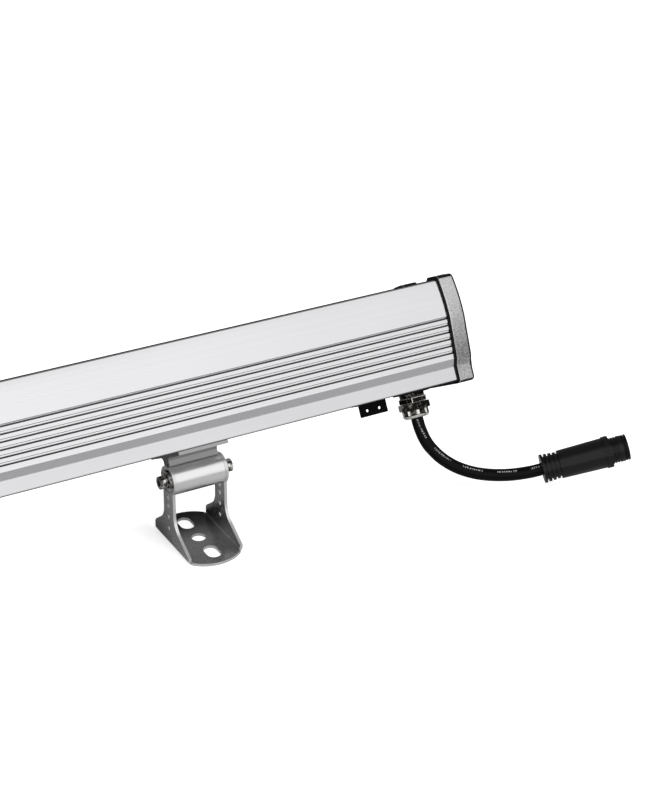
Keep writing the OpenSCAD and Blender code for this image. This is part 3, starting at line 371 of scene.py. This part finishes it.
steel = Finish(bpy.data.materials.new("screw_steel"), {"Metallic": 1.0})
steel.vary(Base_Color=steel.between(steel.grain(500, detail=4),
                                    (0.55, 0.54, 0.52, 1), (0.7, 0.69, 0.67, 1)),
           Roughness=steel.grain(1400, detail=3) * 0.18 + 0.2)
round_edges(keep(solid("tab_screws"), "screws_of_tab", steel, "light", ["tab_screws"]),
            0.00015)

# The housing: one aluminium extrusion with satin silver anodising, and fine lines from the die along it.
# The low steps of its ribs are rounded. Shade is painted on them, on the walls of its grooves and on its
# lower edges, and its lower bands are painted darker.
housing_form = solid("housing")
base_half, base_level, underside_edge = 0.027, 0.0095, 0.0007
shoulder_half, shoulder_level, side_slope = 0.0306, 0.0145, 0.132
ribs_from, ribs_to = 0.017, 0.0435
groove_levels = [0.0415 - i * 0.00462 for i in range(6)]
step_over_groove, step_depth, groove_depth = 0.00145, 0.0005, 0.0022
crown_y, crown_level, crown_radius = 0.0478, 0.044, 0.082
crown_starts = 0.0424
near = 0.00015


def side_depth(spot):
    """How deep a place lies under the slanted side of the housing."""
    return shoulder_half + (spot.z - shoulder_level) * side_slope - abs(spot.y)


def along_edges(form, wanted):
    """The long edges of an extrusion that run through the wanted places of its outline."""
    return [e for e in form.edges if abs(e.verts[0].co.x - e.verts[1].co.x) > 0.005
            and all(wanted(upright @ v.co) for v in e.verts)]


def make_rounder(form, turn, centre, radius, cuts):
    """Gives a round part of a built solid, whose axis lies along the light, more and finer sides."""

    def off(vert):
        """How far a corner lies outside the round."""
        spot = turn @ vert.co
        return math.hypot(spot.y - centre[0], spot.z - centre[1]) - radius

    arcs = [e for e in form.edges if abs(e.verts[0].co.x - e.verts[1].co.x) < 1e-6
            and all(abs(off(v)) < 2e-5 for v in e.verts) and (e.verts[0].co - e.verts[1].co).length < radius]
    for part in bmesh.ops.subdivide_edges(form, edges=arcs, cuts=cuts)["geom_inner"]:
        if isinstance(part, bmesh.types.BMVert):
            spot = turn @ part.co
            share = radius / (radius + off(part))
            spot.y = centre[0] + (spot.y - centre[0]) * share
            spot.z = centre[1] + (spot.z - centre[1]) * share
            part.co = turn.inverted() @ spot


for crown in (crown_y, -crown_y):
    make_rounder(housing_form, upright, (crown, crown_level), crown_radius, 4)
lower_edges = along_edges(housing_form, lambda p: p.z < base_level + 0.0025 and abs(p.y) > base_half)
bmesh.ops.bevel(housing_form, geom=[e for e in lower_edges if e.calc_face_angle(0) > math.radians(25)],
                affect="EDGES", offset=0.0002, segments=1, profile=0.5, material=-1)
rib_steps = along_edges(housing_form, lambda p: abs(side_depth(p)) < near and any(
    abs(p.z - groove - step_over_groove) < near for groove in groove_levels))
rounded_steps = bmesh.ops.bevel(housing_form, geom=rib_steps, affect="EDGES", offset=0.00037, segments=2,
                                profile=0.5, material=-1)["faces"]
# The rounded step faces get the painted groove shade.
for face in rounded_steps:
    face.material_index = 1


def gets_painted_shade(face):
    """Whether a face of the housing lies in a groove, under a rib's low step or on a lower edge, where shade
    is painted.
    """
    spot, way = stood_upright(face)
    depth = side_depth(spot)
    on_lower_edge = spot.z < underside_edge and abs(spot.y) > base_half and -0.95 < way.z < -0.4
    in_groove = step_depth < depth < groove_depth
    under_step = 0.00003 < depth <= step_depth and abs(way.z) > 0.3
    return on_lower_edge or ribs_from < spot.z < ribs_to and (in_groove or under_step)


def height_on_housing(finish):
    """How high a place lies over the housing's underside. 0.5 and 0.866 are the rake's sine and cosine."""
    _, behind, above = finish.axes(finish.place())
    return 0.5 * behind + 0.866 * above - 0.0599


anodised = Finish(bpy.data.materials.new("satin_anodised"), {"Metallic": 1.0})
die_lines = anodised.grain(1, stretch=(1.2, 2600, 2600), detail=3)
height = height_on_housing(anodised)
# Painted shade: the slanted band under the shoulder is painted darker, and the upright base band a little
# less.
painted_low_shade = (height < shoulder_level) * 0.45 + (height < base_level) * -0.15
anodised.vary(
    Base_Color=anodised.between(die_lines * 0.25 + anodised.grain(9, detail=3) * 0.25 + painted_low_shade,
                                (0.96, 0.96, 0.975, 1), (0.62, 0.62, 0.64, 1)),
    Roughness=die_lines * 0.1 + 0.19)
anodised.relief(die_lines * 0.6 + anodised.grain(5200) * 0.4, 0.000008)
# Painted shade: a dark grey for the grooves, the rib steps, the lower edges and the sliders' end faces.
painted_groove_shade = Finish(bpy.data.materials.new("painted_groove_shade"), {"Metallic": 1.0})
painted_groove_shade.vary(Base_Color=painted_groove_shade.between(painted_groove_shade.grain(1, stretch=(1.2, 2600, 2600)), 0.1, 0.18),
                 Roughness=painted_groove_shade.grain(700) * 0.1 + 0.4)
housing = keep(housing_form, "extruded_housing", anodised, "light", ["housing"],
               smooth=9)
# Only the crowned sides above the ribs are shaded smooth.
for face in housing.data.polygons:
    face.use_smooth = (upright @ face.center).z > crown_starts
# Painted shade on the grooves, the rib steps and the lower edges.
give(housing, painted_groove_shade, gets_painted_shade)

# The end caps: die-cast, painted silver grey with a fine sand texture, each on a black rubber gasket and held
# by four socket screws in sunk holes.
crease_level, horn_starts, cap_edge_starts = 0.0097, 0.066, 0.4965
cap_paint = Finish(bpy.data.materials.new("sand_paint"), {"Metallic": 0.9})
sand = cap_paint.grain(1050)
fleck = cap_paint.grain(2600, detail=1)
height = height_on_housing(cap_paint)
# Painted light and shade: the paint is darkest just over the crease, grows lighter towards the top, and is
# half-lit below the crease.
painted_light_share = ((height - 0.016) * 16).held() * (height > crease_level) + (height < crease_level) * 0.42
speck = ((sand * 0.65 + fleck * 0.35 - 0.36) * 3.6).held()
painted_shade_paint, painted_light_paint = cap_paint.between(speck, 0.14, 0.58), cap_paint.between(speck, 0.78, 1)
cap_paint.vary(Base_Color=cap_paint.between(painted_light_share, painted_shade_paint, painted_light_paint), Roughness=sand * 0.16 + 0.32)
cap_paint.relief(sand * 0.7 + fleck * 0.3, 0.0004)
# Painted shade: near-black on the caps' rounded outer edges, their undersides and the horns' tops and inner
# sides.
painted_cap_shade = Finish(bpy.data.materials.new("painted_cap_shade"), {"Metallic": 0.9})
painted_cap_shade.vary(Base_Color=painted_cap_shade.between(painted_cap_shade.grain(1050), 0.008, 0.05),
                Roughness=painted_cap_shade.grain(900) * 0.2 + 0.3)
# Painted highlight: near-white on the caps' inner rounded edges beside the gaskets.
painted_cap_highlight = Finish(bpy.data.materials.new("painted_cap_highlight"), {"Metallic": 1.0})
painted_cap_highlight.vary(Base_Color=painted_cap_highlight.between(painted_cap_highlight.grain(1050), 0.85, 0.98),
               Roughness=painted_cap_highlight.grain(900) * 0.1 + 0.2)


def outward_share(face):
    """How much a face of a cap looks away from the housing, from -1 to 1."""
    return face.normal.x * math.copysign(1, face.center.x)


def gets_painted_cap_shade(face):
    """Whether a face is on a cap's outer rounded edge, under it, or on a horn's top or inner side, where
    shade is painted.
    """
    outward = outward_share(face)
    spot, way = stood_upright(face)
    on_outer_edge = 0.1 < outward < 0.97 and abs(face.center.x) > cap_edge_starts
    on_horn_top = way.z > 0.3 and spot.z > horn_starts
    under_cap = way.z < -0.4 and spot.z < 0.001
    inside_horn = spot.z > horn_starts - 0.0005 and way.y * spot.y < 0
    return on_outer_edge or outward < 0.97 and (on_horn_top or under_cap) or inside_horn


for side in ("right", "left"):
    cap = keep(solid("end_cap_" + side), "cast_cap_" + side, cap_paint, "light",
               ["end_cap_" + side], smooth=20)
    # Painted shade on the outer edges, undersides and horns.
    give(cap, painted_cap_shade, gets_painted_cap_shade)
    # Painted highlight on the inner rounded edges.
    give(cap, painted_cap_highlight, lambda face: -0.97 < outward_share(face) < -0.3)
    round_edges(cap, 0.0003, angle=50)
    round_edges(keep(solid("cap_gasket_" + side), "gasket_" + side, rubber, "light",
                     ["cap_gasket_" + side], smooth=40), 0.0001, angle=50)
    round_edges(keep(solid("cap_screws_" + side), "screws_of_cap_" + side, steel, "light",
                     ["cap_screws_" + side]), 0.0002)

# The glass front: one pane of clear tempered glass, 4 mm thick, with ground edges. It is bedded in a black
# silicone frame that seals it against the housing.
glass = Finish(bpy.data.materials.new("front_glass"), {"Base Color": (0.93, 0.97, 0.96, 1), "IOR": 1.5,
                                                       "Transmission Weight": 1.0})
glass.vary(Roughness=glass.grain(14, detail=5) * 0.05 + 0.01)
round_edges(keep(solid("glass_cover"), "glass_pane", glass, "light", ["glass_cover"]), 0.0004)
keep(solid("glass_seal"), "silicone_frame", rubber, "light", ["glass_seal"])

# Behind the glass: 36 clear cone lenses in black cups over the light sources, on a white board that is
# screwed to the housing's deck.
resin = Finish(bpy.data.materials.new("lens_resin"), {"Base Color": (0.96, 0.98, 1.0, 1), "IOR": 1.49,
                                                      "Transmission Weight": 1.0})
resin.vary(Roughness=resin.grain(900, detail=3) * 0.1 + 0.02)
keep(solid("lenses"), "cone_lenses", resin, "light", ["lenses"], smooth=40)
cup = Finish(bpy.data.materials.new("cup_plastic"), {"Base Color": (0.02, 0.02, 0.02, 1)})
cup.vary(Roughness=cup.grain(900, detail=3) * 0.2 + 0.35)
cup.relief(cup.grain(3000), 0.00003)
keep(solid("lens_holders"), "lens_cups", cup, "light", ["lens_holders"], smooth=40)
phosphor = Finish(bpy.data.materials.new("phosphor"), {"Roughness": 0.3})
phosphor.vary(Base_Color=phosphor.between(phosphor.grain(2500), (0.8, 0.55, 0.08, 1), (0.9, 0.75, 0.25, 1)))
keep(solid("leds"), "light_sources", phosphor, "light", ["leds"], smooth=40)
mask_white = Finish(bpy.data.materials.new("white_mask"), {"Roughness": 0.4})
mask_white.vary(Base_Color=mask_white.between(mask_white.grain(120, detail=4), (0.76, 0.76, 0.74, 1),
                                              (0.86, 0.86, 0.85, 1)))
round_edges(keep(solid("light_board"), "white_board", mask_white, "light", ["light_board"]),
            0.0002)
keep(solid("board_screws"), "screws_of_board", steel, "light", ["board_screws"])

# The driver behind the light board: a green board with wound and moulded parts. It is closed in, and shows
# only when the light is taken apart.
mask_green = Finish(bpy.data.materials.new("green_mask"), {"Roughness": 0.35})
mask_green.vary(Base_Color=mask_green.between(mask_green.grain(400, detail=5), (0.015, 0.12, 0.045, 1),
                                              (0.03, 0.2, 0.08, 1)))
dark_mould = Finish(bpy.data.materials.new("dark_mould"), {"Base Color": (0.03, 0.03, 0.032, 1)})
dark_mould.vary(Roughness=dark_mould.grain(800, detail=3) * 0.2 + 0.4)
for node, finish in (("driver_board", mask_green), ("driver_parts", dark_mould), ("driver_screws", steel)):
    refinish(node, finish)

# The sliders: short pieces of satin aluminium extrusion under the housing, with a flange, a waisted web and
# a round boss. Two countersunk screws and nuts in the housing's slots clamp each one. Bright socket screws
# with split and flat washers hold the feet to the boss.
slider_metal = Finish(bpy.data.materials.new("slider_metal"), {"Metallic": 1.0})
pulled = slider_metal.grain(1, stretch=(6, 3000, 3000), detail=3)
slider_metal.vary(Base_Color=slider_metal.between(pulled, 0.9, 0.99), Roughness=pulled * 0.1 + 0.24)
slider_metal.relief(pulled, 0.000006)
# Painted shade: the flange and the web under the housing are painted darker than the boss, the web darkest.
web_painted_shade = Finish(bpy.data.materials.new("web_painted_shade"), {"Metallic": 1.0})
flange = height_on_housing(web_painted_shade) > -0.0027
web_lines = web_painted_shade.grain(1, stretch=(6, 3000, 3000), detail=3)
web_painted_shade.vary(Base_Color=web_painted_shade.between(web_lines * 0.4 + flange * 0.6, 0.26, 0.46),
               Roughness=web_painted_shade.grain(600) * 0.1 + 0.25)
boss_radius = 0.0098
bright = Finish(bpy.data.materials.new("bright_steel"), {"Metallic": 1.0})
bright.vary(Base_Color=bright.between(((bright.grain(380, detail=4) - 0.45) * 5).held(),
                                      (0.1, 0.095, 0.09, 1), (0.9, 0.88, 0.85, 1)),
            Roughness=bright.grain(1200, detail=4) * 0.14 + 0.08)


def off_the_boss(face):
    """Whether a face of a slider belongs to its flange or its web, which get painted shade."""
    return math.hypot(face.center.y - pivot_y, face.center.z - pivot_z) > boss_radius + 0.0002


for side in ("right", "left"):
    carrier = side + "_slider"
    slider_form = solid("slider_" + side)
    make_rounder(slider_form, Matrix(), (pivot_y, pivot_z), boss_radius, 4)
    slider = keep(slider_form, "clamp_slider_" + side, slider_metal, carrier,
                  ["slider_" + side], smooth=20)
    # Painted shade on the flange and the web.
    give(slider, web_painted_shade, off_the_boss)
    # Painted shade on the slider's end faces.
    give(slider, painted_groove_shade, lambda face: abs(face.normal.x) > 0.9)
    round_edges(slider, 0.0003, 3, angle=40)
    for node, name in (("clamp_screws_", "countersunk_screws_"), ("clamp_nuts_", "square_nuts_")):
        round_edges(keep(solid(node + side), name + side, steel, carrier, [node + side]),
                    0.00015)
    for node, name in (("pivot_screws_", "socket_screws_"), ("spring_washers_", "split_washers_"),
                       ("flat_washers_", "wide_washers_")):
        round_edges(keep(solid(node + side), name + side, bright, carrier, [node + side]),
                    0.00025, 3)

# The feet: 2 mm steel sheet, folded to a U, satin. The cut edges and the walls of the holes are brighter
# than the rolled faces, on which shade is painted darker towards the rear.
sheet = 0.002
index_holes = (0.0125, 0.021, 0.029, 0.035)
foot_metal = Finish(bpy.data.materials.new("foot_metal"), {"Metallic": 1.0})
_, behind, above = foot_metal.axes(foot_metal.place())
# Painted shade: the feet grow darker towards the rear, the base plates most.
painted_rear_shade = ((behind + 0.004) * 28).held() * 0.65 + (above < sheet + 0.0005) * (behind * 70).held() * 0.35
foot_metal.vary(Base_Color=foot_metal.between(foot_metal.grain(60, detail=5) * 0.3 + painted_rear_shade, 0.68, 0.03),
                Roughness=foot_metal.grain(300, detail=4) * 0.08 + 0.24)
foot_metal.relief(foot_metal.grain(2600), 0.000002)
cut_metal = Finish(bpy.data.materials.new("cut_metal"), {"Metallic": 1.0})
cut_metal.vary(Base_Color=cut_metal.between(cut_metal.grain(1400, detail=3), 0.82, 0.95),
               Roughness=cut_metal.grain(1400, detail=3) * 0.2 + 0.28)


def cut_through(face):
    """Whether a face of a foot goes through the sheet: its outline, and the walls of its holes."""
    way, in_base = face.normal, face.center.z < sheet + 0.0001
    return abs(way.y) > 0.1 or (abs(way.x) > 0.9 if in_base else abs(way.x) < 0.1 and face.center.z > 0.01)


for side in ("right", "left"):
    foot_form = solid("foot_" + side)
    for hole in index_holes:
        rim = [v for v in foot_form.verts if math.hypot(v.co.y - pivot_y, v.co.z - hole) < 0.0013]
        bmesh.ops.scale(foot_form, vec=(1, 1.3, 1.3), verts=rim,
                        space=Matrix.Translation((0, -pivot_y, -hole)))
    foot = keep(foot_form, "folded_foot_" + side, foot_metal, side + "_foot",
                ["foot_" + side], smooth=30)
    give(foot, cut_metal, cut_through)
    round_edges(foot, 0.00025, angle=40)

# The studio: a pale floor, a large soft lamp in front and a weaker one above. The background is white.
# Metal shows a white wall in front of the light, and darkness overhead, to the right and behind.
floor_form = bmesh.new()
bmesh.ops.create_grid(floor_form, x_segments=1, y_segments=1, size=8)
floor_mesh = bpy.data.meshes.new("floor")
floor_form.to_mesh(floor_mesh)
floor_form.free()
floor = bpy.data.objects.new("floor", floor_mesh)
bpy.context.scene.collection.objects.link(floor)
floor_finish = Finish(bpy.data.materials.new("floor"), {"Roughness": 0.9, "Specular IOR Level": 0.0,
                                                        "Emission Strength": 0.64})
seen = floor_finish.node("ShaderNodeLightPath", {}, {}, "Is Camera Ray")
mirrored = floor_finish.node("ShaderNodeLightPath", {}, {}, "Is Glossy Ray")
through = floor_finish.node("ShaderNodeLightPath", {}, {}, "Is Transmission Ray")
_, depth, _ = floor_finish.axes(floor_finish.place())
shown = floor_finish.between(((-0.16 - depth) * 2.5).held(), 0.42, 0.2)
floor_finish.vary(Base_Color=floor_finish.between(mirrored, 0.72, shown),
                  Emission_Color=floor_finish.between((seen + through).held(), 0, 1))
floor_mesh.materials.append(floor_finish.owner)

world = bpy.data.worlds.new("studio")
bpy.context.scene.world = world
air = Finish(world, {}, "Background")
right, back, up = air.axes(air.place("Generated"))
in_front, not_overhead = ((-0.08 - back) * 5).held(), ((1 - up) * 7).held()
wall = in_front * not_overhead * (1.47 - 1.3 * right).held()
air_seen = (air.node("ShaderNodeLightPath", {}, {}, "Is Camera Ray")
            + air.node("ShaderNodeLightPath", {}, {}, "Is Transmission Ray")).held()
air_mirrored = air.node("ShaderNodeLightPath", {}, {}, "Is Glossy Ray")
air.join(air.shader.inputs["Color"],
         air.between(air_seen, air.between(air_mirrored, 0.5, air.between(wall, 0.2, 1)), 1))

for name, size, power, spot, aim in (
        ("front_lamp", (1.6, 1.0), 26, (0.95, -1.5, 1.25), (0.2, 0, 0.05)),
        ("top_lamp", (1.4, 0.8), 12, (0.0, 0.1, 1.7), (0.1, 0, 0))):
    lamp = bpy.data.objects.new(name, bpy.data.lights.new(name, "AREA"))
    bpy.context.scene.collection.objects.link(lamp)
    lamp.data.shape = "RECTANGLE"
    lamp.data.size, lamp.data.size_y = size
    lamp.data.energy = power
    lamp.location = spot
    lamp.visible_glossy = False
    lamp.rotation_euler = (Vector(aim) - Vector(spot)).to_track_quat("-Z", "Y").to_euler()

bpy.context.scene.view_settings.view_transform = "Standard"
